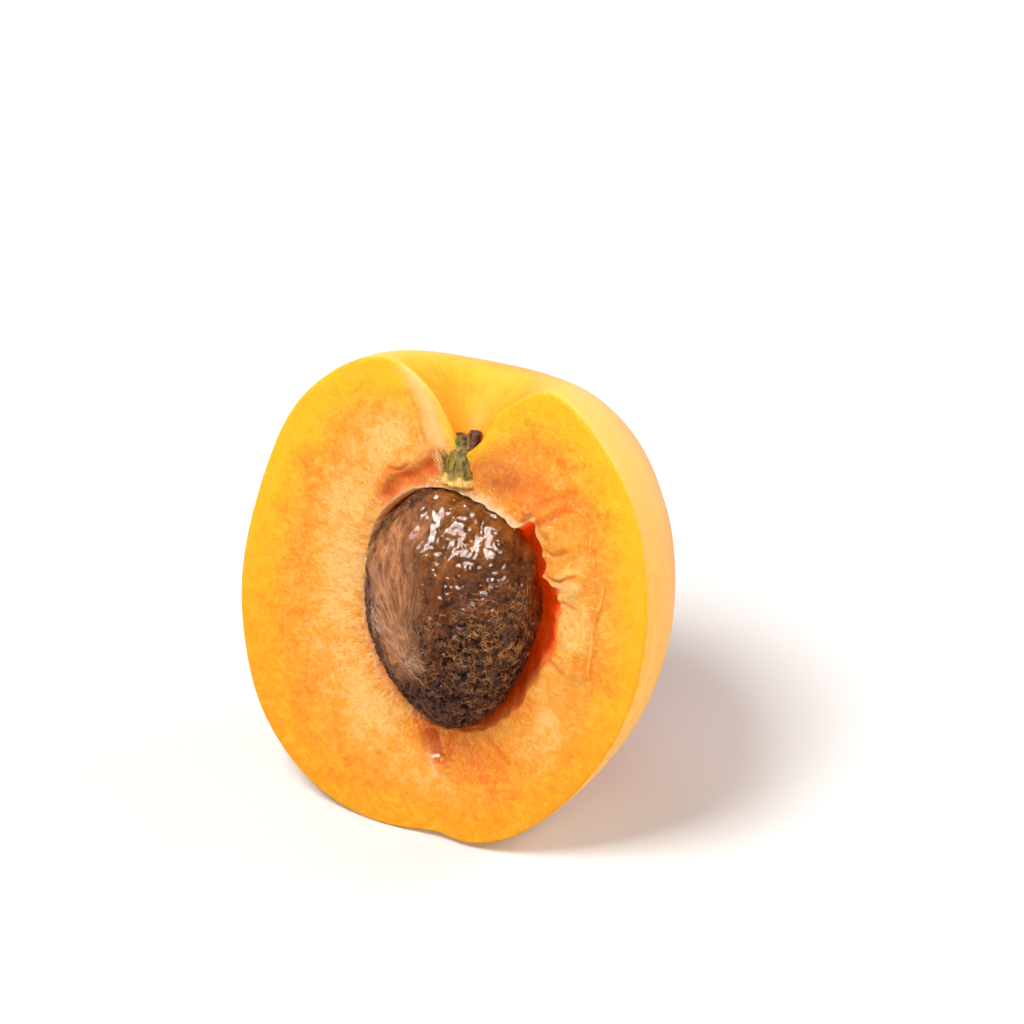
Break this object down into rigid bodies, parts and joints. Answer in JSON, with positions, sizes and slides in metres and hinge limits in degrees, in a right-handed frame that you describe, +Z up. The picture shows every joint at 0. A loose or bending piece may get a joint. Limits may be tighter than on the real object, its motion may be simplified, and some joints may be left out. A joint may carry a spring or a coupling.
{
  "type": "apricot half",
  "caption": "Half of a ripe apricot, cut down its seam, with the stone in its hollow and a forked stub of stalk in the stem cavity, leaning back on a small flat spot.",
  "frame": {"origin": "on the resting surface, under the middle of the bounding box", "axes": "+Z up; -Y is the side that the cut face looks to, leaning back 20 degrees; +X to the right of the face; the cheek is towards +Y"},
  "size_m": [0.0506, 0.0352, 0.0516],
  "materials": {
    "fruit": "moist yellow-orange cut flesh, and a matte, finely downy amber skin",
    "stone": "wet, wrinkled brown shell with clinging fibres",
    "stalk": "dry olive-green bark with a brown broken tip"
  },
  "bodies": {
    "root": {"apricot_half": "fruit", "stone": "stone", "stalk_stub": "stalk"}
  },
  "joints": []
}
